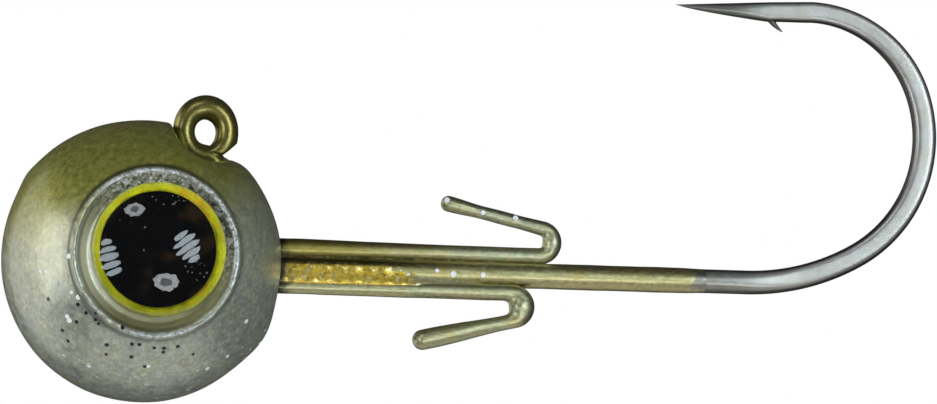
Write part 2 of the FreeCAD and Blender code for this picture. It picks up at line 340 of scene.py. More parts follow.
def wire_paint(name, dark, middle, light, rough, metallic, gold=0.0, shade_and_wear=None):
    """Olive paint on wire, thin enough for the metal to glint through. gold is how golden it gets near
    the head; the function given last, if any, goes over the paint's colour with painted shade and wear."""
    material, tree = new_material(name)
    streak = add(tree, "ShaderNodeMapping", {"Vector": position(tree), "Scale": (0.45, 1.0, 1.0)})
    fine = noise(tree, 0.12, detail=4.0, roughness=0.55, vector=streak.outputs["Vector"])
    broad = noise(tree, 0.9, detail=3.0)
    base = ramp(tree, fine, [(0.30, dark), (0.50, middle), (0.72, light)])
    tint = ramp(tree, broad, [(0.32, (0.88, 0.93, 0.94)), (0.5, (1.0, 1.0, 1.0)), (0.68, (1.0, 0.95, 0.80))])
    base = tinted(tree, base, tint)
    if gold:
        near = product(tree, between(tree, "X", 14.0, 5.0), gold)
        base = mix(tree, near, base, mix(tree, fine, (0.20, 0.16, 0.02), (0.48, 0.40, 0.08)))
    if shade_and_wear:
        base = shade_and_wear(tree, base, fine)
    # Painted shade in the corner where the wire leaves the ball.
    base = contact_shade(tree, base)
    rough = fit(tree, fine, 0.2, 0.8, *rough)
    normal = bump(tree, noise(tree, 0.20, detail=2.0), 0.0015)
    surface(tree, {"Base Color": base, "Metallic": metallic, "Roughness": rough, "Normal": normal,
                   "Coat Weight": 0.25, "Coat Roughness": 0.2})
    return material


def shank_shading(tree, base, fine):
    """Painted shade, dark olive, on the shank's top beside the upper leg near the ball, and the ragged end of the
    paint, worn off over the steel.
    """
    # Painted shade: the shank's top darkened beside the upper leg, near the ball.
    near = between(tree, "X", 12.5, 7.0)
    above = between(tree, "Z", SHANK_Z + 0.02, SHANK_Z + 0.30)
    shank_shade_colour = mix(tree, fine, (0.05, 0.045, 0.01), (0.16, 0.14, 0.04))
    base = mix(tree, product(tree, near, above), base, shank_shade_colour)
    patchy = swing(tree, noise(tree, 0.45, detail=4.0), 2.4)
    worn = fit_mm(tree, total(tree, axis(tree, "X"), patchy), *PAINT_WORN)
    return mix(tree, worn, base, mix(tree, fine, (0.25, 0.24, 0.21), (0.36, 0.35, 0.31)))


def forged_steel(name, shade):
    """Bare hook wire with fine scratches. Its colour is painted near black where it faces neither side, along its
    rounded edges, and darker towards the point: painted shade and painted reflection.
    """
    material, tree = new_material(name)
    fine = noise(tree, 0.30, detail=3.0, roughness=0.5)
    broad = noise(tree, 0.9, detail=3.0)
    base = ramp(tree, fine, [(0.25, (0.45, 0.445, 0.43)), (0.5, (0.50, 0.495, 0.475)),
                             (0.78, (0.56, 0.555, 0.53))])
    base = tinted(tree, base, (shade, shade, shade))
    tint = ramp(tree, broad, [(0.34, (0.93, 0.89, 0.82)), (0.6, (1.0, 0.985, 0.955))])
    base = tinted(tree, base, tint)
    # Painted shade: the colour goes near black where the normal turns away from the sides, along the rounded
    # edges.
    normals = add(tree, "ShaderNodeNewGeometry").outputs["Normal"]
    facing = add(tree, "ShaderNodeSeparateXYZ", {"Vector": normals})
    flat = fit(tree, math_node(tree, "ABSOLUTE", facing.outputs["Y"]), 0.50, 0.92)
    base = mix(tree, flat, (0.05, 0.05, 0.045), base)
    rough = fit(tree, fine, 0.2, 0.8, 0.33, 0.39)
    normal = bump(tree, fine, 0.0008)
    # Painted dark reflection: the arm's colour darkened towards the point.
    point = product(tree, between(tree, "X", 25.8, 23.4), between(tree, "Z", 0.0, 4.0))
    base = mix(tree, product(tree, point, 0.75), base, (0.10, 0.105, 0.09))
    start = product(tree, between(tree, "X", 26.5, 22.9), between(tree, "Z", 0.0, -3.0))
    stained = mix(tree, fine, (0.13, 0.12, 0.09), (0.25, 0.24, 0.19))
    base = mix(tree, product(tree, start, 0.5), base, stained)
    surface(tree, {"Base Color": base, "Metallic": 0.75, "Roughness": rough, "Normal": normal})
    return material


def gold_coating():
    """Cured coating full of gold glitter near the head, plain paint further along; near black above the shank, in
    the groove, and in the corner at the ball: painted shade.
    """
    material, tree = new_material("gold_coating")
    cells = grains(tree, 0.10)
    value = add(tree, "ShaderNodeSeparateColor", {"Color": cells})
    base = ramp(tree, value.outputs["Red"], [(0.0, (0.46, 0.29, 0.02)), (0.3, (0.70, 0.47, 0.04)),
                                             (0.85, (0.85, 0.62, 0.08)), (1.0, (1.0, 0.90, 0.50))])
    soft = noise(tree, 0.5, detail=3.0)
    base = mix(tree, fit(tree, soft, 0.52, 0.72, 0.0, 0.45), base, (0.62, 0.50, 0.22))
    drift = swing(tree, soft, 3.0)
    plain = fit_mm(tree, total(tree, axis(tree, "X"), drift), *GOLD_END)
    base = mix(tree, plain, base, mix(tree, value.outputs["Blue"], (0.38, 0.35, 0.18), (0.56, 0.52, 0.30)))
    # Painted shade: the coating above the shank, in the groove under the upper leg, goes near black.
    groove_shade = between(tree, "Z", SHANK_Z + 0.10, SHANK_Z + 0.25)
    base = mix(tree, groove_shade, base, mix(tree, value.outputs["Blue"], (0.03, 0.025, 0.008), (0.26, 0.20, 0.06)))
    # Painted shade in the corner where the coating meets the ball.
    base = contact_shade(tree, base)
    normal = bump(tree, value.outputs["Green"], 0.010)
    surface(tree, {"Base Color": base, "Metallic": 0.65, "Roughness": 0.34, "Normal": normal,
                   "Coat Weight": 0.6, "Coat Roughness": 0.08})
    return material


def fleck_material(name, dark, light, metallic, roughness):
    material, tree = new_material(name)
    value = noise(tree, 0.4, detail=2.0)
    base = ramp(tree, value, [(0.3, dark), (0.7, light)])
    normal = bump(tree, noise(tree, 0.05), 0.004)
    surface(tree, {"Base Color": base, "Metallic": metallic, "Roughness": roughness, "Normal": normal,
                   "Coat Weight": 0.3, "Coat Roughness": 0.1})
    return material


def eye_foil():
    """Yellow holographic foil, with painted shadow at its rims, painted glints at its upper right and painted
    shade low down.
    """
    material, tree = new_material("eye_foil")
    fine = noise(tree, 0.10, detail=3.0, roughness=0.7)
    shift = noise(tree, 1.5, detail=2.0)
    inward = vector_math(tree, "SUBTRACT", position(tree), tuple(EYE * MM))
    inward = vector_math(tree, "MULTIPLY", inward, (1.0, 0.0, 1.0))
    radius = vector_math(tree, "LENGTH", inward, output="Value")
    wander = swing(tree, noise(tree, 0.45, detail=4.0), 0.30)
    band = fit_mm(tree, total(tree, radius, wander), PUPIL_R, EYE_R)
    # The ramp's near-black ends, at the pupil and at the foil's outer rim, are painted shadow.
    yellow = ramp(tree, band, [(0.0, (0.10, 0.10, 0.005)), (0.14, (0.44, 0.41, 0.010)),
                               (0.38, (0.50, 0.46, 0.015)), (0.55, (0.36, 0.37, 0.012)),
                               (0.72, (0.48, 0.46, 0.06)), (0.90, (0.36, 0.34, 0.03)),
                               (1.0, (0.07, 0.07, 0.01))])
    yellow = tinted(tree, yellow, fit(tree, fine, 0.3, 0.7, 0.8, 1.15))
    rainbow = ramp(tree, shift, [(0.36, (0.44, 0.44, 0.01)), (0.55, (0.40, 0.42, 0.01)),
                                 (0.60, (0.45, 0.30, 0.015)), (0.64, (0.25, 0.45, 0.03)),
                                 (0.70, (0.45, 0.22, 0.015))])
    # Orange and green glints painted into the foil's upper right corner: painted reflection.
    patches = noise(tree, 0.5, detail=3.0)
    painted_glints = ramp(tree, patches, [(0.40, (0.44, 0.44, 0.01)), (0.48, (0.60, 0.22, 0.02)),
                                  (0.56, (0.40, 0.42, 0.01)), (0.62, (0.16, 0.50, 0.05))])
    corner = product(tree, between(tree, "X", EYE[0] + 0.3, EYE[0] + 1.4),
                     between(tree, "Z", EYE[2] + 0.6, EYE[2] + 1.6))
    base = mix(tree, 0.3, yellow, rainbow)
    base = mix(tree, product(tree, corner, 0.7), base, painted_glints)
    worn = fit(tree, noise(tree, 1.3, detail=2.0), 0.35, 0.65, 0.78, 1.12)
    base = tinted(tree, base, worn)
    # Painted shade: the foil darker towards the bottom.
    shade = between(tree, "Z", EYE[2] - 3.0, EYE[2] + 0.5, 0.62, 1.05)
    base = tinted(tree, base, shade)
    normal = bump(tree, fine, 0.004)
    surface(tree, {"Base Color": base, "Metallic": 0.3, "Roughness": 0.45, "Normal": normal,
                   "Specular IOR Level": 0.0})
    return material


def eye_black():
    material, tree = new_material("eye_black")
    fine = noise(tree, 0.12, detail=4.0)
    broad = noise(tree, 1.6, detail=2.0)
    base = ramp(tree, fine, [(0.35, (0.001, 0.001, 0.002)), (0.75, (0.005, 0.005, 0.004))])
    base = mix(tree, fit(tree, broad, 0.50, 0.72), base, (0.020, 0.012, 0.006))
    normal = bump(tree, fine, 0.003)
    surface(tree, {"Base Color": base, "Roughness": 0.45, "Normal": normal, "Specular IOR Level": 0.0})
    return material


def eye_resin():
    """Clear resin. Light samples pass straight through it, so the print below stays lit."""
    material, tree = new_material("eye_resin")
    ripple = noise(tree, 0.8, detail=2.0)
    glass = add(tree, "ShaderNodeBsdfPrincipled", {
        "Base Color": (1.0, 1.0, 1.0, 1.0), "Transmission Weight": 1.0, "Roughness": 0.0, "IOR": 1.5,
        "Normal": bump(tree, ripple, 0.006)})
    clear = add(tree, "ShaderNodeBsdfTransparent")
    path = add(tree, "ShaderNodeLightPath")
    either = add(tree, "ShaderNodeMixShader", {
        "Fac": path.outputs["Is Shadow Ray"], 1: glass.outputs["BSDF"], 2: clear.outputs["BSDF"]})
    add(tree, "ShaderNodeOutputMaterial", {"Surface": either.outputs["Shader"]})
    return material


def eye_adhesive():
    material, tree = new_material("eye_adhesive")
    value = noise(tree, 0.3, detail=3.0)
    base = ramp(tree, value, [(0.3, (0.55, 0.54, 0.48)), (0.7, (0.75, 0.74, 0.68))])
    surface(tree, {"Base Color": base, "Roughness": 0.6, "Normal": bump(tree, value, 0.01)})
    return material


def floor_material():
    """Pale from above; from below it isn't seen."""
    material, tree = new_material("floor")
    value = noise(tree, 60.0, detail=2.0)
    base = ramp(tree, value, [(0.3, (0.80, 0.80, 0.79)), (0.7, (0.84, 0.84, 0.83))])
    pale = add(tree, "ShaderNodeBsdfPrincipled", {"Base Color": base, "Roughness": 0.8})
    clear = add(tree, "ShaderNodeBsdfTransparent")
    facing = add(tree, "ShaderNodeNewGeometry").outputs["Backfacing"]
    either = add(tree, "ShaderNodeMixShader", {
        "Fac": facing, 1: pale.outputs["BSDF"], 2: clear.outputs["BSDF"]})
    add(tree, "ShaderNodeOutputMaterial", {"Surface": either.outputs["Shader"]})
    return material


HEAD_PAINT = head_paint()
TIE_PAINT = wire_paint("tie_paint", (0.19, 0.165, 0.038), (0.25, 0.21, 0.055), (0.33, 0.28, 0.10),
                       rough=(0.31, 0.35), metallic=0.9)
SHANK_PAINT = wire_paint("shank_paint", (0.37, 0.33, 0.15), (0.51, 0.465, 0.22), (0.64, 0.585, 0.33),
                         rough=(0.36, 0.44), metallic=1.0, gold=0.5, shade_and_wear=shank_shading)
UPPER_COAT = wire_paint("upper_coat", (0.40, 0.39, 0.23), (0.52, 0.51, 0.32), (0.64, 0.63, 0.43),
                        rough=(0.38, 0.46), metallic=1.0, gold=0.9)
LOWER_COAT = wire_paint("lower_coat", (0.40, 0.39, 0.21), (0.51, 0.50, 0.29), (0.63, 0.62, 0.39),
                        rough=(0.38, 0.46), metallic=1.0, gold=0.2)
GOLD_COATING = gold_coating()
STEEL = forged_steel("forged_steel", 1.0)
# The barb's steel, dimmed to a quarter: painted shade, as it faces down.
SHADED_SPUR_STEEL = forged_steel("spur_steel_shaded", 0.25)
BLACK_FLECK = fleck_material("black_fleck", (0.004, 0.004, 0.005), (0.012, 0.012, 0.014), 0.0, 0.4)
SILVER_FLECK = fleck_material("silver_fleck", (0.95, 0.95, 0.94), (1.0, 1.0, 0.99), 0.1, 0.5)
PALE_FLECK = fleck_material("pale_fleck", (0.45, 0.46, 0.38), (0.75, 0.76, 0.68), 0.6, 0.3)
DUST = fleck_material("dust", (0.04, 0.035, 0.02), (0.18, 0.18, 0.16), 0.2, 0.5)
FOIL = eye_foil()
PUPIL = eye_black()
RESIN = eye_resin()
ADHESIVE = eye_adhesive()


# ---- Meshes

def make_mesh_object(name, points, faces, material, smooth=True):
    mesh = bpy.data.meshes.new(name)
    mesh.from_pydata((np.asarray(points, float) * MM).tolist(), [], [tuple(int(i) for i in f) for f in faces])
    mesh.validate()
    mesh.polygons.foreach_set("use_smooth", [smooth] * len(mesh.polygons))
    mesh.materials.append(material)
    mesh.update()
    piece = bpy.data.objects.new(name, mesh)
    bpy.context.scene.collection.objects.link(piece)
    return piece


def settle(piece, body="jig", nodes=()):
    """Gives a piece the body that it rides on and hides the solids that it stands in for."""
    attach(piece, body)
    if nodes:
        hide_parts(*nodes)
    return piece


def arc(radius, turn):
    return radius * math.radians(abs(turn)), turn


def bent(start, heading, runs, step=0.15):
    """Wire path in the XZ plane from (length, turn in degrees) runs: rows of x, z, heading and length."""
    x, z, h, s = start[0], start[1], math.radians(heading), 0.0
    rows = [(x, z, h, s)]
    for length, turn in runs:
        count = max(2, math.ceil(length / step))
        part, bend = length / count, math.radians(turn) / count
        for _ in range(count):
            chord = part * (math.sin(bend / 2.0) / (bend / 2.0) if bend else 1.0)
            x += chord * math.cos(h + bend / 2.0)
            z += chord * math.sin(h + bend / 2.0)
            h += bend
            s += part
            rows.append((x, z, h, s))
    return np.array(rows)


def rounding(radius, edge, steps=6):
    """(how far out, radius) of the rings that round a wire's end."""
    angles = np.linspace(0.0, math.pi / 2.0, steps + 1)[1:]
    return [(edge * math.sin(a), radius - edge * (1.0 - math.cos(a))) for a in angles]


UNFORGED = 50.0


def tube_faces(rings, around):
    """Faces of a tube of rings, closed by a fan at each end. The fans' middles are the last two points."""
    faces = []
    for k in range(rings - 1):
        for j in range(around):
            a, b = k * around + j, k * around + (j + 1) % around
            faces.append((a, b, b + around, a + around))
    last, start_middle, end_middle = (rings - 1) * around, rings * around, rings * around + 1
    for j in range(around):
        faces.append(((j + 1) % around, j, start_middle))
        faces.append((last + j, last + (j + 1) % around, end_middle))
    return faces


def wire(path, radius, flat=UNFORGED, side=1.0, start_edge=0.1, end_edge=0.1, around=40, shear=None):
    """Closed tube round a path. radius, flat and side are one number or one per row. flat is half of the
    thickness along Y that forging leaves, and UNFORGED leaves the wire round. shear slants the end:
    (share of the length, slope)."""
    count = len(path)
    radius = np.broadcast_to(np.asarray(radius, float), count)
    flat = np.broadcast_to(np.asarray(flat, float), count)
    side = np.broadcast_to(np.asarray(side, float), count)
    rings = []
    first, last = path[0], path[-1]
    for out, r in reversed(rounding(radius[0], start_edge)):
        rings.append((first[0] - out * math.cos(first[2]), first[1] - out * math.sin(first[2]), first[2],
                      max(r, 0.002), flat[0], side[0], 0.0))
    for i, row in enumerate(path):
        rings.append((row[0], row[1], row[2], radius[i], flat[i], side[i], row[3] / last[3]))
    for out, r in rounding(radius[-1], end_edge):
        rings.append((last[0] + out * math.cos(last[2]), last[1] + out * math.sin(last[2]), last[2],
                      max(r, 0.002), flat[-1], side[-1], 1.0))
    angles = np.linspace(0.0, 2.0 * math.pi, around, endpoint=False)
    points = []
    for x, z, h, r, f, sd, share in rings:
        reach = ((1.0 / r) ** 16 + (np.abs(np.sin(angles)) / f) ** 16) ** (-1.0 / 16)
        v, u = reach * np.cos(angles), reach * np.sin(angles) * sd
        along = 0.0
        if shear and share > 1.0 - shear[0]:
            along = v * shear[1] * (share - 1.0 + shear[0]) / shear[0]
        points.append(np.stack([x - v * math.sin(h) + along * math.cos(h), u,
                                z + v * math.cos(h) + along * math.sin(h)], axis=1))
    faces = [f[::-1] for f in tube_faces(len(points), around)]
    return np.vstack(points + [points[0].mean(0)[None], points[-1].mean(0)[None]]), faces


def lathe(profile, centre, side, around=128):
    """Solid of revolution about a Y axis from (radius, y) points that start and end on the axis."""
    points = []
    inner = profile[1:-1]
    angles = np.linspace(0.0, 2.0 * math.pi, around, endpoint=False)
    for r, y in inner:
        points.append(np.stack([centre[0] + r * np.cos(angles), np.full(around, side * y),
                                centre[2] + r * np.sin(angles)], axis=1))
    points.append(np.array([[centre[0], side * profile[0][1], centre[2]],
                            [centre[0], side * profile[-1][1], centre[2]]]))
    faces = tube_faces(len(inner), around)
    if side > 0:
        faces = [f[::-1] for f in faces]
    return np.vstack(points), faces


def smooth_step(value, low, high):
    t = np.clip((value - low) / (high - low), 0.0, 1.0)
    return t * t * (3.0 - 2.0 * t)


# ---- Head: a skin on the zero level of a distance field

SOCKET = EYE + np.array([-0.17, 0.0, -0.17])
SOCKET_WIDE = 0.995
SOCKET_TALL = 1.005
SOCKET_FLOOR = foil_low[1] - 0.08
WALL_FOOT_R, WALL_FOOT_Y = 3.08, 4.74       # the socket's flared wall, at its foot and at its top
WALL_TOP_R, WALL_TOP_Y = 3.60, 5.20
CREST_R = 3.68                              # the raised lip round the socket
CREST_Y = 5.19
CREST_THICK = 0.15
TROUGH = TIE + np.array([-0.12, 0.0, -0.15])
TROUGH_R = 1.55
# The ball isn't quite round: each swell's or dip's turn from +X in degrees, its height in
# millimetres and its spread in degrees.
LUMPS = ((138.0, 0.07, 16.0), (144.0, 0.07, 4.0), (190.0, -0.07, 34.0),
         (292.0, 0.045, 24.0), (330.0, 0.19, 8.0), (30.0, -0.11, 7.0))
FLAT_POINT = np.array([3.31, 0.0, -7.15])      # a flat on the ball, below the shank
FLAT_NORMAL = np.array([0.9962, 0.0, -0.0872])
SHOULDER_TURN = 53.0            # the ball is lower where it meets the foot of the line tie
SHOULDER_DROP = 0.36
SKIN_INSET = 0.04              # the skin's mean level below the solid ball
NECK_LEAN = math.radians(70.0)
HEAD_GRID = 0.102
COLLAR_END = 3.1               # where the head's paint stops climbing the wires


def value_noise(points, size, seed):
    """Smooth random field with features size across, from -1 to 1."""
    lattice = np.random.default_rng(seed).uniform(-1.0, 1.0, (32, 32, 32))
    q = points / size + 1000.0
    cell = np.floor(q).astype(int)
    t = q - cell
    t = t * t * (3.0 - 2.0 * t)
    total = np.zeros(len(points))
    for corner in np.ndindex(2, 2, 2):
        weight = np.prod(np.where(np.array(corner), t, 1.0 - t), axis=1)
        index = (cell + np.array(corner)) % 32
        total += weight * lattice[index[:, 0], index[:, 1], index[:, 2]]
    return total


def union(a, b, k):
    h = np.clip(0.5 + 0.5 * (b - a) / k, 0.0, 1.0)
    return b + (a - b) * h - k * h * (1.0 - h)


def cut(a, b, k):
    return -union(-a, b, k)


def rod(p, start, end, radius):
    start, end = np.asarray(start, float), np.asarray(end, float)
    d = end - start
    t = np.clip((p - start) @ d / (d @ d), 0.0, 1.0)
    return np.linalg.norm(p - start - t[:, None] * d, axis=1) - radius


def eye_radius(p):
    return np.hypot((p[:, 0] - SOCKET[0]) / SOCKET_WIDE, (p[:, 2] - SOCKET[2]) / SOCKET_TALL)


def head_field(p):
    """Signed distance, about, from the head's painted surface; negative inside."""
    from_centre = p - BALL
    distance = np.linalg.norm(from_centre, axis=1)
    direction = from_centre / np.maximum(distance, 1e-9)[:, None]
    skin = np.full(len(p), BALL_R - SKIN_INSET)
    for angle, height, width in LUMPS:
        axis = np.array([math.cos(math.radians(angle)), 0.0, math.sin(math.radians(angle))])
        away = np.degrees(np.arccos(np.clip(direction @ axis, -1.0, 1.0)))
        skin += height * np.exp(-0.5 * (away / width) ** 2)
    turn = np.degrees(np.arctan2(from_centre[:, 2], from_centre[:, 0]))
    level = (1.0 - direction[:, 1] ** 2) ** 2
    skin -= SHOULDER_DROP * level * np.exp(-0.5 * ((turn - SHOULDER_TURN) / 4.5) ** 2)
    field = distance - skin
    field = cut(field, -((p - FLAT_POINT) @ FLAT_NORMAL), 0.12)
    field = cut(field, np.hypot(p[:, 0] - TROUGH[0], p[:, 2] - TROUGH[2]) - TROUGH_R, 0.22)
    out = np.abs(p[:, 1])
    ring = eye_radius(p)
    lip = np.hypot(ring - CREST_R, out - (CREST_Y - CREST_THICK)) - CREST_THICK
    field = union(field, lip, 0.16)
    slope = (WALL_TOP_R - WALL_FOOT_R) / (WALL_TOP_Y - WALL_FOOT_Y)
    wall = (ring - (WALL_FOOT_R + (out - WALL_FOOT_Y) * slope)) / math.hypot(1.0, slope)
    pocket = np.maximum(wall, SOCKET_FLOOR - out)
    field = cut(field, pocket, 0.06)
    shank = rod(p, (0.5, 0.0, SHANK_Z), (COLLAR_END, 0.0, SHANK_Z), 0.50)
    upper = rod(p, (2.5, 0.0, UPPER_LEG_Z), (COLLAR_END, 0.0, UPPER_LEG_Z), 0.36)
    lower = rod(p, (2.5, LOWER_LEG_Y, LOWER_LEG_Z), (COLLAR_END, LOWER_LEG_Y, LOWER_LEG_Z), 0.26)
    strands = np.minimum(np.minimum(shank, upper), lower)
    neck = np.minimum(rod(p, (0.30, 0.0, -1.15), (1.1, 0.0, -3.1), 0.42),
                      rod(p, (0.84, 0.0, -1.36), (0.9, 0.0, -1.7), 0.16))
    ring_side = np.minimum(rod(p, (-0.93, 0.0, 0.05), (-0.72, 0.0, -0.72), 0.38),
                           rod(p, (-0.72, 0.0, -0.72), (0.30, 0.0, -1.15), 0.38))
    for strand, k in ((strands, 0.22), (ring_side, 0.32), (neck, 0.36)):
        field = union(field, strand, k)
    field += 0.018 * value_noise(p, 1.7, SEED)
    near_crest = np.exp(-0.5 * ((ring - CREST_R) / 0.16) ** 2) * (out > 4.9)
    field += 0.030 * near_crest * value_noise(p, 0.22, SEED + 1)
    return field


def slope_of(field, points, step=0.01):
    """Gradient of a field by central differences."""
    columns = []
    for axis in range(3):
        offset = np.zeros(3)
        offset[axis] = step
        columns.append((field(points + offset) - field(points - offset)) / (2.0 * step))
    return np.stack(columns, axis=1)


def skin_of(field, low, high, step):
    """Closed quad mesh on the field's zero level: one point in each grid cell that the level crosses."""
    low = np.asarray(low, float)
    counts = np.ceil((np.asarray(high, float) - low) / step).astype(int) + 1
    axes = [low[k] + step * np.arange(counts[k]) for k in range(3)]
    values = np.empty(counts)
    for i, x in enumerate(axes[0]):
        grid = np.stack(np.meshgrid([x], axes[1], axes[2], indexing="ij"), axis=-1).reshape(-1, 3)
        values[i] = field(grid).reshape(counts[1], counts[2])
    inside = values < 0.0

    def corner(array, c):
        x, y, z = (slice(c[k], array.shape[k] - 1 + c[k]) for k in range(3))
        return array[x, y, z]

    corners = list(np.ndindex(2, 2, 2))
    full = sum(corner(inside, c).astype(int) for c in corners)
    active = (full > 0) & (full < 8)
    number = np.full(active.shape, -1)
    number[active] = np.arange(active.sum())
    total = np.zeros((active.sum(), 3))
    crossings = np.zeros(active.sum())
    for a in corners:
        for axis in range(3):
            if a[axis]:
                continue
            b = tuple(1 if k == axis else a[k] for k in range(3))
            va, vb = corner(values, a)[active], corner(values, b)[active]
            crossed = (va < 0.0) != (vb < 0.0)
            t = np.where(crossed, va / np.where(crossed, va - vb, 1.0), 0.0)
            spot = np.tile(np.array(a, float), (len(t), 1))
            spot[:, axis] += t
            total += spot * crossed[:, None]
            crossings += crossed
    cells = np.argwhere(active)
    points = low + step * (cells + total / crossings[:, None])
    for _ in range(3):
        gradient = slope_of(field, points)
        size = np.maximum((gradient ** 2).sum(1), 0.2)
        move = -field(points)[:, None] * gradient / size[:, None]
        points += np.clip(move, -0.4 * step, 0.4 * step)
    faces = []
    for axis in range(3):
        u, v = [k for k in range(3) if k != axis]
        a = np.take(inside, range(counts[axis] - 1), axis)
        b = np.take(inside, range(1, counts[axis]), axis)
        edges = np.argwhere(a != b)
        edges = edges[(edges[:, u] > 0) & (edges[:, v] > 0)]
        starts_inside = a[tuple(edges.T)]
        quad = []
        for du, dv in ((1, 1), (0, 1), (0, 0), (1, 0)):
            cell = edges.copy()
            cell[:, u] -= du
            cell[:, v] -= dv
            quad.append(number[tuple(cell.T)])
        quad = np.stack(quad, axis=1)
        flip = starts_inside if axis == 1 else ~starts_inside
        quad[flip] = quad[flip][:, ::-1]
        faces.append(quad)
    return points, np.vstack(faces)


def make_head():
    points, faces = skin_of(head_field, BALL - BALL_R - 0.5, BALL + BALL_R + np.array([1.6, 0.5, 0.5]),
                            HEAD_GRID)
    head = make_mesh_object("head", points, faces, HEAD_PAINT)
    ring = eye_radius(points)
    out = np.abs(points[:, 1])
    around = np.degrees(np.arctan2(points[:, 2] - SOCKET[2], points[:, 0] - SOCKET[0])) % 360.0
    crest = smooth_step(ring, CREST_R - 0.15, CREST_R - 0.07)
    crest *= smooth_step(-ring, -CREST_R - 0.16, -CREST_R - 0.05)
    crest *= smooth_step(out, 5.06, 5.18)
    wall = smooth_step(-ring, -CREST_R + 0.09, -CREST_R + 0.17) * (out > 4.5)

    def sector(middle, half, soft):
        away = np.abs((around - middle + 180.0) % 360.0 - 180.0)
        return smooth_step(-away, -half - soft, -half + soft)

    # Thin dark rings round the lip, in the crease at its foot and on the wall: painted shade.
    lip_shade_lines = np.exp(-((ring - CREST_R - 0.20) / 0.09) ** 2) * (0.45 + 0.45 * sector(150.0, 95.0, 30.0))
    lip_shade_lines += np.exp(-((ring - CREST_R + 0.26) / 0.08) ** 2) * 0.55 * sector(215.0, 75.0, 25.0)
    flaky = wall * sector(60.0, 75.0, 25.0)
    # pale marks the socket wall's left side, whose colour is lightened: painted light.
    for name, values in (("crest", crest * np.maximum(sector(60.0, 80.0, 20.0), sector(270.0, 22.0, 10.0))),
                         ("wall", wall), ("flaky", flaky), ("pale", wall * sector(188.0, 34.0, 26.0)),
                         ("lip_shade_lines", lip_shade_lines)):
        layer = head.data.attributes.new(name, "FLOAT", "POINT")
        layer.data.foreach_set("value", values.astype(np.float32))
    return settle(head, nodes=("lead_ball",))


make_head()


# ---- Hook

RING_WIDE = 0.975
RING_TALL = 1.10
RING_END = -60.0
RING_WIRE_R = 0.512
RING_CROWN = 0.055              # how much thicker the paint makes the wire over the ring's top
NECK_TURN_R = 0.62              # reverse bend between the ring and the neck
NECK_LENGTH = 2.6
RING_NIP = np.array([1.33, 0.0, -0.58])
NIP_NORMAL = np.array([0.63, 0.0, -0.777])
HOOK_R = 0.54
PAINTED_R = 0.575
SHANK_START = 0.6               # inside the ball
PAINT_END = 22.82
BEND_START = 24.7
BEND_ARCS = ((10.0, 30.0), (6.28, 77.4), (5.34, 71.1))
FLAT_HALF = 0.42                # half of the forged bend's thickness, and of the unforged shank's
ROUND_HALF = 0.58
TIP_X = 21.34                   # the point's tip
POINT_X = 25.6                  # where the arm starts to taper to it
ARM_TOP = 6.735                 # top edge of the arm where the taper starts
TIP_DROP = 0.245                # how far that edge falls from there to the tip
ARM_DEPTH = 0.45
BARB_FOOT = (25.55, 6.22)       # on the arm's underside
BARB_HEADING = -66.0
BARB_HALF = 0.19
ARM_R = 0.475                   # the arm, where the bend ends


def make_line_tie():
    """Eye of the hook: a ring, a reverse bend and a neck that runs down into the ball."""
    neck_top = math.sqrt((1.0 + NECK_TURN_R) ** 2 - NECK_TURN_R ** 2)
    lean_in = math.degrees(math.atan2(NECK_TURN_R, neck_top))
    ring_turn = 360.0 - math.degrees(NECK_LEAN) - lean_in - RING_END
    start = (math.cos(math.radians(RING_END)), math.sin(math.radians(RING_END)))
    runs = [arc(1.0, ring_turn), arc(NECK_TURN_R, lean_in - 90.0), (NECK_LENGTH, 0.0)]
    path = bent(start, RING_END + 90.0, runs, step=0.08)
    path[:, 0] *= RING_WIDE
    path[:, 1] *= RING_TALL
    step = np.gradient(path[:, :2], axis=0)
    path[:, 2] = np.unwrap(np.arctan2(step[:, 1], step[:, 0]))
    path[:, 3] = np.r_[0.0, np.cumsum(np.hypot(*np.diff(path[:, :2], axis=0).T))]
    around = np.arctan2(path[:, 1], path[:, 0])
    on_ring = smooth_step(path[:, 1], -1.2, -0.3)
    crown = RING_CROWN * np.maximum(np.sin(around), 0.0) ** 2
    radius = RING_WIRE_R + on_ring * (crown - 0.02 * (np.cos(around) < 0))
    kernel = np.ones(9) / 9.0
    radius = np.convolve(np.pad(radius, 4, mode="edge"), kernel, mode="valid")
    path = path[::-1].copy()
    path[:, 2] += math.pi
    path[:, 3] = path[0, 3] - path[:, 3]
    points, faces = wire(path, radius[::-1], start_edge=0.2, end_edge=0.14, shear=(0.13, -1.0))
    # The wire's end is nipped off at a slant where it closes on the neck.
    points = np.array(points)
    over = np.maximum((points - RING_NIP) @ NIP_NORMAL, 0.0) * (np.arange(len(points)) > 0.55 * len(points))
    points -= 0.9 * over[:, None] * NIP_NORMAL
    points += TIE
    return settle(make_mesh_object("line_tie", points, faces, TIE_PAINT), nodes=("hook",))


def make_painted_shank():
    path = bent((SHANK_START, SHANK_Z), 0.0, [(PAINT_END - 0.04 - SHANK_START, 0.0)], 0.25)
    swell = 0.010 * np.sin(path[:, 0] * 1.9) + 0.006 * np.sin(path[:, 0] * 4.3 + 1.0)
    thick = 0.03 * smooth_step(-path[:, 0], -14.0, -5.0)
    thin = 0.03 * smooth_step(path[:, 0], PAINT_END - 1.3, PAINT_END)
    points, faces = wire(path, PAINTED_R + 0.4 * swell + thick - thin, end_edge=0.035)
    shank = make_mesh_object("painted_shank", points, faces, SHANK_PAINT)
    return settle(shank, nodes=("hook",))


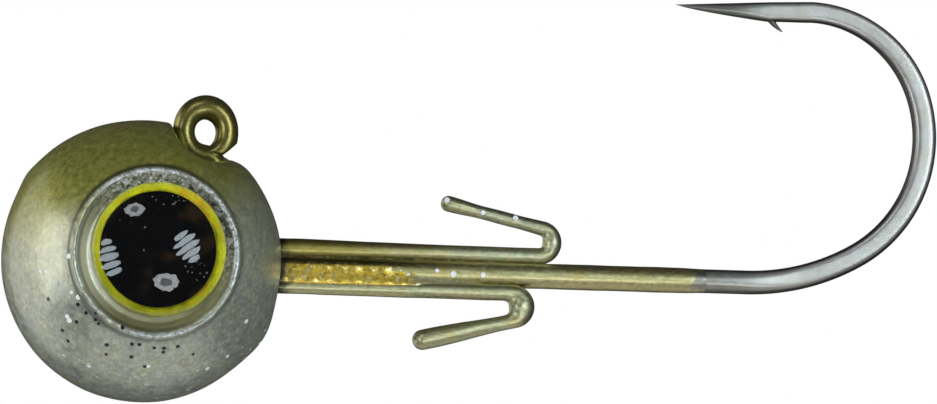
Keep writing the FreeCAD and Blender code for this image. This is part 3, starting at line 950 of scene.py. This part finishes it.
def make_hook_bend():
    """Bare end of the hook: shank, forged bend, arm and point."""
    begin = PAINT_END - 0.8
    runs = [(BEND_START - begin, 0.0)] + [arc(r, t) for r, t in BEND_ARCS]
    path = bent((begin, SHANK_Z), 0.0, runs, 0.12)
    total = path[-1, 3]
    arm_share = smooth_step(path[:, 3], total - arc(*BEND_ARCS[-1])[0], total)
    radius = HOOK_R + arm_share * (ARM_R - HOOK_R)
    flat = ROUND_HALF + smooth_step(path[:, 3], 1.2, 5.6) * (FLAT_HALF - ROUND_HALF)
    # Point: the top edge runs nearly straight to the tip while the underside rises to it.
    x0, z0, heading = path[-1, 0], path[-1, 1], path[-1, 2]
    arm_end_top = z0 + radius[-1] * math.cos(heading - math.pi)
    rows = []
    for k in range(1, 61):
        t = k / 60.0
        x = x0 - (x0 - TIP_X) * t
        if x < POINT_X:
            top = ARM_TOP - TIP_DROP * (POINT_X - x) / (POINT_X - TIP_X)
            depth = max(ARM_DEPTH * ((x - TIP_X) / (POINT_X - TIP_X)) ** 0.80, 0.012)
        else:
            top = arm_end_top + (ARM_TOP - arm_end_top) * (x0 - x) / (x0 - POINT_X)
            depth = ARM_R + (ARM_DEPTH - ARM_R) * float(smooth_step(np.array(t), 0.0, 0.3))
        rows.append((x, top - depth, heading, path[-1, 3] + (x0 - x), depth))
    rows = np.array(rows)
    path = np.vstack([path, rows[:, :4]])
    slope = np.gradient(path[:, :2], axis=0)
    path[:, 2] = np.unwrap(np.arctan2(slope[:, 1], slope[:, 0]))
    radius = np.r_[radius, rows[:, 4]]
    flat = np.r_[flat - 0.07 * arm_share, np.full(len(rows), FLAT_HALF - 0.07)]
    points, faces = wire(path, radius, flat=flat, end_edge=0.008)
    return settle(make_mesh_object("hook_bend", points, faces, STEEL), nodes=("hook",))


def make_barb():
    """Spur raised on the underside of the arm."""
    path = bent(BARB_FOOT, BARB_HEADING, [arc(1.9, 33.0)], 0.05)
    share = path[:, 3] / path[-1, 3]
    half = BARB_HALF * (1.0 - share) ** 0.75 + 0.010
    points, faces = wire(path, half, side=1.25 - 0.5 * share, start_edge=0.05, end_edge=0.01)
    return settle(make_mesh_object("barb", points, faces, SHADED_SPUR_STEEL), nodes=("hook",))


make_line_tie()
make_painted_shank()
make_hook_bend()
make_barb()


# ---- Keepers

FOLD_R = 0.63
UPPER_FOLD_TURN = 167.0
LOWER_FOLD_TURN = 166.8
TAIL_LENGTH = 1.5              # inside the ball, where the wire leans away from the shank
TAIL_R = 0.34
KEEPER_GRID = 0.065


def keeper_field(above, leg_y, leg_z, fold_x, fold_turn, arm, tail_x, tail_turn, leg_radius, arm_radius,
                 pool_x, pool_r, pool_blend):
    """Distance field of one bent wire with its coating pooled inside the fold."""
    heading = math.radians(above * fold_turn)
    centre = np.array([fold_x, leg_z + above * FOLD_R])
    lean = math.radians(tail_turn)
    tail_end = np.array([tail_x - TAIL_LENGTH * math.cos(lean), leg_y,
                         leg_z + above * TAIL_LENGTH * math.sin(lean)])
    root = centre + FOLD_R * np.array([math.sin(above * heading), -above * math.cos(heading)])

    def field(p):
        x, z = p[:, 0], p[:, 2]
        side = p[:, 1] - leg_y
        t = np.clip((x - tail_x) / (fold_x - tail_x), 0.0, 1.0)
        off_leg = x - tail_x - t * (fold_x - tail_x)
        leg = np.sqrt(off_leg ** 2 + (z - leg_z) ** 2 + side ** 2) - leg_radius(x)
        tail_rod = rod(p, tail_end, (tail_x, leg_y, leg_z), TAIL_R)
        dx, dz = x - centre[0], above * (z - centre[1])
        turn = np.arctan2(dz, dx) + math.pi / 2.0
        on_fold = (turn >= 0.0) & (turn <= math.radians(fold_turn))
        share = np.clip(turn / math.radians(fold_turn), 0.0, 1.0)
        fold_r = leg_radius(np.array(fold_x)) * (1.0 - share) + arm_radius(np.array(0.0)) * share
        fold = np.where(on_fold, np.sqrt((np.hypot(dx, dz) - FOLD_R) ** 2 + side ** 2) - fold_r, 9.0)
        along = (x - root[0]) * math.cos(heading) + (z - root[1]) * math.sin(heading)
        t = np.clip(along, 0.0, arm)
        off_x = x - root[0] - t * math.cos(heading)
        off_z = z - root[1] - t * math.sin(heading)
        arm_rod = np.sqrt(off_x ** 2 + off_z ** 2 + side ** 2) - arm_radius(t)
        body = np.minimum(np.minimum(leg, fold), arm_rod)
        inner = np.sqrt((x - centre[0] - pool_x) ** 2 + (z - centre[1]) ** 2 + 0.8 * side ** 2) - pool_r
        body = union(body, inner, pool_blend)
        body = np.minimum(body, tail_rod)
        return body + 0.010 * value_noise(p, 0.9, SEED + 2)

    return field


def make_keeper(name, body, nodes, material, above, leg_y, leg_z, fold_x, fold_turn, tail_x, **shape):
    """One wire from its cast-in tail to its free tip; the arm bends away from the leg at the fold."""
    field = keeper_field(above, leg_y, leg_z, fold_x, fold_turn, tail_x=tail_x, **shape)
    reach = leg_z + above * 3.2
    low = (tail_x - 1.9, leg_y - 0.62, min(leg_z - above * 0.6, reach))
    high = (fold_x + 1.3, leg_y + 0.62, max(leg_z - above * 0.6, reach))
    keeper = make_mesh_object(name, *skin_of(field, low, high, KEEPER_GRID), material)
    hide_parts(*nodes)
    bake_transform(keeper)
    return keeper


def upper_leg_radius(x):
    return 0.365 + 0.095 * smooth_step(-x, -12.0, -3.5)


def upper_arm_radius(t):
    return 0.335 - 0.035 * smooth_step(t, 0.0, 1.2) + 0.055 * smooth_step(t, 3.0, 4.4)


def lower_leg_radius(x):
    return 0.365 - 0.03 * smooth_step(-x, -9.0, -4.0)


def lower_arm_radius(t):
    return 0.335 + 0.125 * smooth_step(t, 0.4, 4.0)


make_keeper("upper_keeper", "upper_arm", ("upper_keeper_leg", "upper_keeper_arm"), UPPER_COAT,
            above=1.0, leg_y=UPPER_PIVOT[1], leg_z=UPPER_LEG_Z, fold_x=15.26, fold_turn=UPPER_FOLD_TURN,
            arm=4.44, tail_x=2.8, tail_turn=65.0, leg_radius=upper_leg_radius,
            arm_radius=upper_arm_radius, pool_x=0.42, pool_r=0.30, pool_blend=0.30)
make_keeper("lower_keeper", "lower_arm", ("lower_keeper_leg", "lower_keeper_arm"), LOWER_COAT,
            above=-1.0, leg_y=LOWER_LEG_Y, leg_z=LOWER_LEG_Z, fold_x=14.00, fold_turn=LOWER_FOLD_TURN,
            arm=4.34, tail_x=0.6, tail_turn=55.0, leg_radius=lower_leg_radius,
            arm_radius=lower_arm_radius, pool_x=0.26, pool_r=0.42, pool_blend=0.36)


# ---- Cured coating in the grooves between the shank and the keepers' legs

BRIDGE_START = 2.6              # inside the ball
BRIDGE_STATIONS = 110
BRIDGE_LEVELS = 18


def make_bridge(name, leg_y, leg_z, end_x, proud, rise, node):
    """Web from the shank's side to the leg's, on both sides. proud is how far it stands out past the wires'
    common tangent, at four places from the head to its end; rise is how far up the shank it starts,
    at both ends."""
    leg = np.array([leg_y, leg_z - SHANK_Z])
    gap = np.linalg.norm(leg)
    up = leg / gap
    out = np.array([-abs(up[1]), up[0] * math.copysign(1.0, up[1])])
    stations = np.linspace(BRIDGE_START, end_x, BRIDGE_STATIONS)
    share = (stations - BRIDGE_START) / (end_x - BRIDGE_START)
    offset = np.interp(share, (0.0, 0.35, 0.62, 1.0), proud)
    points = []
    for k, x in enumerate(stations):
        heights = np.linspace(rise[0] + (rise[1] - rise[0]) * share[k] ** 2.2, gap + 0.02, BRIDGE_LEVELS)
        tangent = PAINTED_R + (KEEPER_R - PAINTED_R) * heights / gap
        bowed = tangent + offset[k] - 0.10 * share[k] * np.sin(np.pi * np.clip(heights / gap, 0.0, 1.0))
        edges = 0.05 * (np.abs(2.0 * heights / gap - 1.0) ** 6)
        ripple = 0.012 * math.sin(4.1 * x) + 0.010 * math.sin(9.3 * x + 1.0)
        widths = np.maximum(bowed - edges + ripple, 0.03)
        widths = widths * math.sqrt(max(1.0 - max((share[k] - 0.94) / 0.06, 0.0) ** 2, 0.01))
        section = [out * w + up * h for h, w in zip(heights, widths)]
        section += [-out * w + up * h for h, w in zip(heights[::-1], widths[::-1])]
        points.append([(x, q[0], SHANK_Z + q[1]) for q in section])
    around = len(points[0])
    faces = tube_faces(len(points), around)
    flat = [p for ring in points for p in ring]
    first, last = np.mean(points[0], axis=0), np.mean(points[-1], axis=0)
    piece = make_mesh_object(name, flat + [tuple(first), tuple(last)], faces, GOLD_COATING)
    return settle(piece, nodes=(node,))


make_bridge("upper_bridge", UPPER_PIVOT[1], UPPER_LEG_Z, end_x=14.4, proud=(-0.06, -0.12, -0.16, -0.22),
            rise=(0.10, 0.20), node="upper_coating_bridge")
make_bridge("lower_bridge", LOWER_LEG_Y, LOWER_LEG_Z, end_x=12.8, proud=(0.11, 0.11, 0.07, -0.14),
            rise=(-0.32, 0.12), node="lower_coating_bridge")


# ---- Eyes

PUPIL_OFFSET = np.array([-0.05, 0.0, 0.0])


def rounded_disc(radius, edge, low, high, count):
    """Half profile of a flat disc whose face is split into rings."""
    face = [(r, high) for r in np.linspace(radius - 0.3, 0.3, count)]
    return [(0.0, low), *edge, *face, (0.0, high)]


def make_eye(name, side):
    low, high = foil_low[1], foil_high[1]
    edge = [(EYE_R - 0.04, low), (EYE_R - 0.015, low + 0.02), (EYE_R - 0.015, high - 0.02),
            (EYE_R - 0.04, high)]
    foil = lathe(rounded_disc(EYE_R, edge, low, high, 10), EYE, side)
    settle(make_mesh_object(name + "_foil", *foil, FOIL), nodes=(name + "_eye_foil",))
    low, high = pupil_low[1], pupil_high[1]
    edge = [(PUPIL_R - 0.02, low - 0.01), (PUPIL_R, low + 0.02), (PUPIL_R - 0.02, high)]
    pupil = lathe(rounded_disc(PUPIL_R, edge, low - 0.01, high, 8), EYE + PUPIL_OFFSET, side)
    settle(make_mesh_object(name + "_pupil", *pupil, PUPIL), nodes=(name + "_eye_pupil",))
    base, edge, crown = foil_high[1] - 0.03, foil_high[1] + 0.24, dome_high[1]
    rise = crown - edge
    curve_r = (EYE_R ** 2 + rise ** 2) / (2.0 * rise)
    dome = [(0.0, base), (EYE_R - 0.03, base), (EYE_R, base + 0.03), (EYE_R, edge - 0.03)]
    for r in np.linspace(EYE_R - 0.02, 0.05, 40):
        dome.append((r, crown - curve_r + math.sqrt(curve_r ** 2 - r ** 2)))
    dome.append((0.0, crown))
    settle(make_mesh_object(name + "_dome", *lathe(dome, EYE, side), RESIN),
           nodes=(name + "_eye_dome",))
    pad = frame["nodes"][name + "_eye_adhesive"]
    pad.data.materials.clear()
    pad.data.materials.append(ADHESIVE)


make_eye("left", -1.0)
make_eye("right", 1.0)


# ---- Flecks of glitter in the clear coat

def fleck(centre, normal, across, thick, turn):
    """Six-sided flake lying on a surface: its points and faces."""
    normal = normal / np.linalg.norm(normal)
    u = np.cross(normal, (0.31, 0.87, 0.38))
    u /= np.linalg.norm(u)
    v = np.cross(normal, u)
    ring = [math.cos(turn + k * math.pi / 3) * u + math.sin(turn + k * math.pi / 3) * v for k in range(6)]
    top = [centre + 0.5 * across * w * 0.9 + normal * thick for w in ring]
    low = [centre + 0.5 * across * w - normal * thick for w in ring]
    faces = [(0, 1, 2, 3, 4, 5), (11, 10, 9, 8, 7, 6)]
    faces += [(k + 6, (k + 1) % 6 + 6, (k + 1) % 6, k) for k in range(6)]
    return np.array(top + low), faces


def make_flecks(name, spots, material, body):
    points, faces = [], []
    for centre, normal, across, thick, turn in spots:
        p, f = fleck(np.asarray(centre), np.asarray(normal), across, thick, turn)
        faces += [tuple(i + 12 * len(points) for i in face) for face in f]
        points.append(p)
    return settle(make_mesh_object(name, np.vstack(points), faces, material, smooth=False), body)


def onto_head(points):
    """Points near the head, moved onto its surface, and the surface's normals there."""
    points = np.array(points, float)
    for _ in range(6):
        slope = slope_of(head_field, points)
        points -= head_field(points)[:, None] * slope / np.maximum((slope ** 2).sum(1), 0.2)[:, None]
    slope = slope_of(head_field, points)
    return points, slope / np.linalg.norm(slope, axis=1)[:, None]


def head_spots(rng, count, zones, across, thick):
    """Random places on the ball; a zone is a share, a range of turns about the eye and a range of radii."""
    places = []
    for share, (turn_low, turn_high), (r_low, r_high) in zones:
        for k in range(round(count * share)):
            turn = math.radians(rng.uniform(turn_low, turn_high))
            r = rng.uniform(r_low, r_high)
            side = -1.0 if k % 2 else 1.0
            x, z = EYE[0] + r * math.cos(turn), EYE[2] + r * math.sin(turn)
            inside = BALL_R ** 2 - (x - BALL[0]) ** 2 - (z - BALL[2]) ** 2
            if inside > 0.0:
                places.append((x, side * math.sqrt(inside), z))
    points, normals = onto_head(places)
    sizes = rng.uniform(*across, len(points))
    turns = rng.uniform(0.0, 1.0, len(points))
    return [(p, n, s, thick, t) for p, n, s, t in zip(points, normals, sizes, turns)]


rng = np.random.default_rng(SEED)
black_spots = head_spots(rng, 44, ((0.42, (205, 240), (3.9, 5.6)), (0.50, (238, 292), (4.2, 5.3)),
                                   (0.08, (225, 262), (3.8, 4.1))), across=(0.16, 0.24), thick=0.014)
silver_spots = head_spots(rng, 26, ((0.55, (185, 222), (4.0, 5.9)), (0.45, (225, 350), (4.6, 6.2))),
                          across=(0.16, 0.30), thick=0.012)
pale_spots = head_spots(rng, 110, ((0.60, (255, 340), (5.3, 6.3)), (0.40, (180, 300), (5.5, 6.3))),
                        across=(0.09, 0.20), thick=0.010)
make_flecks("black_flecks", black_spots, BLACK_FLECK, "jig")
make_flecks("silver_flecks", silver_spots, SILVER_FLECK, "jig")
make_flecks("pale_flecks", pale_spots, PALE_FLECK, "jig")


def eye_bubbles(rng):
    """Bubbles and dust caught between the pupil and the resin, low at the front and along the top."""
    spots = []
    zones = ((16, (-42, -14), (1.2, 2.3)), (12, (55, 100), (1.9, 2.45)), (5, (120, 300), (0.5, 2.3)))
    for count, turns, radii in zones:
        for side in (-1.0, 1.0) * count:
            turn, r = math.radians(rng.uniform(*turns)), rng.uniform(*radii)
            x, z = EYE[0] + r * math.cos(turn), EYE[2] + r * math.sin(turn)
            centre = (x, side * (pupil_high[1] + 0.008), z)
            spots.append((centre, (0.0, side, 0.0), rng.uniform(0.04, 0.09), 0.005, rng.uniform(0, 1)))
    return spots


make_flecks("eye_bubbles", eye_bubbles(np.random.default_rng(SEED + 3)), DUST, "jig")


def along_wire(rng, count, x_range, centre_of, radius, turn_range, across):
    """Flecks on the front of a wire. Turns are about the wire, from straight at the viewer's side, up."""
    spots = []
    for k in range(count):
        x = x_range[0] + (x_range[1] - x_range[0]) * (k + rng.uniform(0.15, 0.85)) / count
        centre = np.asarray(centre_of(x), float)
        turn = math.radians(rng.uniform(*turn_range))
        normal = np.array([0.0, -math.cos(turn), math.sin(turn)])
        spots.append((centre + normal * radius, normal, rng.uniform(*across), 0.012, rng.uniform(0, 1)))
    return spots


def arm_centre(pivot, fold_turn, above):
    heading = math.radians(above * fold_turn)
    return lambda x: (x, pivot[1], pivot[2] + (x - pivot[0]) * math.tan(heading))


shank_spots = along_wire(rng, 7, (4.0, 13.6), lambda x: (x, 0.0, SHANK_Z), 0.61, (-22, 8), (0.20, 0.32))
shank_spots += along_wire(rng, 9, (3.8, 14.0), lambda x: (x, 0.0, SHANK_Z), 0.60, (110, 200), (0.14, 0.24))
shank_spots += along_wire(rng, 30, (3.6, 9.0), lambda x: (x, 0.0, SHANK_Z), 0.60, (-75, 10), (0.07, 0.11))
make_flecks("shank_flecks", shank_spots, SILVER_FLECK, "jig")
upper_spots = along_wire(rng, 3, (10.7, 14.3), arm_centre(UPPER_PIVOT, UPPER_FOLD_TURN, 1.0), 0.345,
                         (-10, 25), (0.22, 0.32))
lower_spots = along_wire(rng, 3, (10.2, 13.6), arm_centre(LOWER_PIVOT, LOWER_FOLD_TURN, -1.0), 0.40,
                         (150, 210), (0.10, 0.18))
make_flecks("upper_arm_flecks", upper_spots, SILVER_FLECK, "upper_arm")
make_flecks("lower_arm_flecks", lower_spots, SILVER_FLECK, "lower_arm")


# ---- Floor, light and world

def make_floor():
    size, z = 3000.0, -100.0
    points = [(-size, -size, z), (size, -size, z), (size, size, z), (-size, size, z)]
    floor = make_mesh_object("floor", points, [(0, 1, 2, 3)], floor_material(), smooth=False)
    floor.visible_glossy = False


FAR = 500.0                     # most lamps' distance from the eye
WHITE = (1.0, 1.0, 1.0)
COOL = (0.92, 0.96, 1.0)
BLUISH = (0.80, 0.92, 1.0)


def softbox(name, toward, distance, width, height, radiance, shape="RECTANGLE", tint=WHITE, roll=0.0,
            offset=(0.0, 0.0)):
    """Area light seen from the eye in a direction given as (right, up, back) of the camera. Its width,
    height and sideways offset are in degrees."""
    direction = (RIGHT * toward[0] + UP * toward[1] + BACK * toward[2]).normalized()
    turn = direction.to_track_quat("Z", "Y") @ Quaternion((0.0, 0.0, 1.0), math.radians(roll))
    data = bpy.data.lights.new(name, "AREA")
    data.shape = shape
    data.size = 2.0 * distance * math.tan(math.radians(width / 2.0)) * MM
    data.size_y = 2.0 * distance * math.tan(math.radians(height / 2.0)) * MM
    area = data.size * data.size_y * (math.pi / 4.0 if shape == "ELLIPSE" else 1.0)
    data.energy = radiance * math.pi * area
    data.color = tint
    light = bpy.data.objects.new(name, data)
    bpy.context.scene.collection.objects.link(light)
    sideways = Vector((math.tan(math.radians(offset[0])), math.tan(math.radians(offset[1])), 0.0))
    shift = turn @ sideways * distance
    light.location = (Vector(EYE) + Vector((0.0, -5.0, 0.0)) + direction * distance + shift) * MM
    light.rotation_mode = "QUATERNION"
    light.rotation_quaternion = turn
    light.visible_camera = False
    return light


def striped_softbox(name, toward, distance, bars, roll, radiance, tint):
    """Softbox with dark bands across it; a bar is (offset, width, height) in degrees."""
    for k, (offset, width, height) in enumerate(bars):
        softbox(f"{name}_{k}", toward, distance, width, height, radiance, "ELLIPSE", tint, roll,
                (0.0, offset))


def ring_softbox(name, toward, distance, width, height, radiance, tint):
    """Ring of lamps round a darker middle."""
    count = 9
    softbox(name + "_middle", toward, distance, 0.5 * width, 0.5 * height, 0.3 * radiance, "ELLIPSE", tint)
    for k in range(count):
        turn = 2.0 * math.pi * (k + 0.3) / count
        spot = (0.35 * width * math.cos(turn), 0.35 * height * math.sin(turn))
        softbox(f"{name}_{k}", toward, distance, 0.30 * width, 0.30 * height, radiance, "ELLIPSE", tint,
                offset=spot)


def make_world():
    world = bpy.data.worlds.new("world")
    bpy.context.scene.world = world
    world.use_nodes = True
    tree = world.node_tree
    tree.nodes.clear()
    seen = add(tree, "ShaderNodeBackground", {"Color": (1.0, 1.0, 1.0, 1.0), "Strength": 1.0})
    lit = add(tree, "ShaderNodeBackground", {"Color": (0.96, 0.98, 1.0, 1.0), "Strength": 0.05})
    path = add(tree, "ShaderNodeLightPath")
    either = add(tree, "ShaderNodeMixShader", {
        "Fac": path.outputs["Is Camera Ray"], 1: lit.outputs["Background"], 2: seen.outputs["Background"]})
    add(tree, "ShaderNodeOutputWorld", {"Surface": either.outputs["Shader"]})


make_floor()
LEFT_BARS = ((-13.0, 16.0, 5.8), (-6.4, 18.0, 5.8), (0.2, 18.0, 5.8), (6.8, 16.0, 5.8), (13.2, 11.0, 5.0))
RIGHT_BARS = ((-11.0, 11.0, 5.0), (-5.5, 20.0, 5.1), (0.0, 25.0, 5.1), (5.6, 24.0, 5.1), (11.1, 16.0, 4.8))
ring_softbox("light_top", (-0.147, 0.717, 0.682), FAR, 17.5, 13.0, 6.5, COOL)
striped_softbox("light_left", (-0.507, 0.048, 0.861), FAR, LEFT_BARS, roll=14.0, radiance=8.0, tint=BLUISH)
striped_softbox("light_right", (0.625, 0.210, 0.752), FAR, RIGHT_BARS, roll=32.0, radiance=8.5, tint=BLUISH)
ring_softbox("light_low", (0.333, -0.307, 0.892), 170.0, 23.5, 16.0, 7.5, COOL)
softbox("light_side", (-0.98, 0.06, 0.20), FAR, 30.0, 52.0, 2.8)
softbox("light_rim", (-0.92, -0.10, -0.42), FAR, 46.0, 80.0, 0.85)
softbox("light_under", (0.05, -0.94, 0.10), 95.0, 75.0, 75.0, 0.55)
make_world()
bpy.context.scene.view_settings.view_transform = "Standard"
bpy.context.scene.view_settings.look = "None"
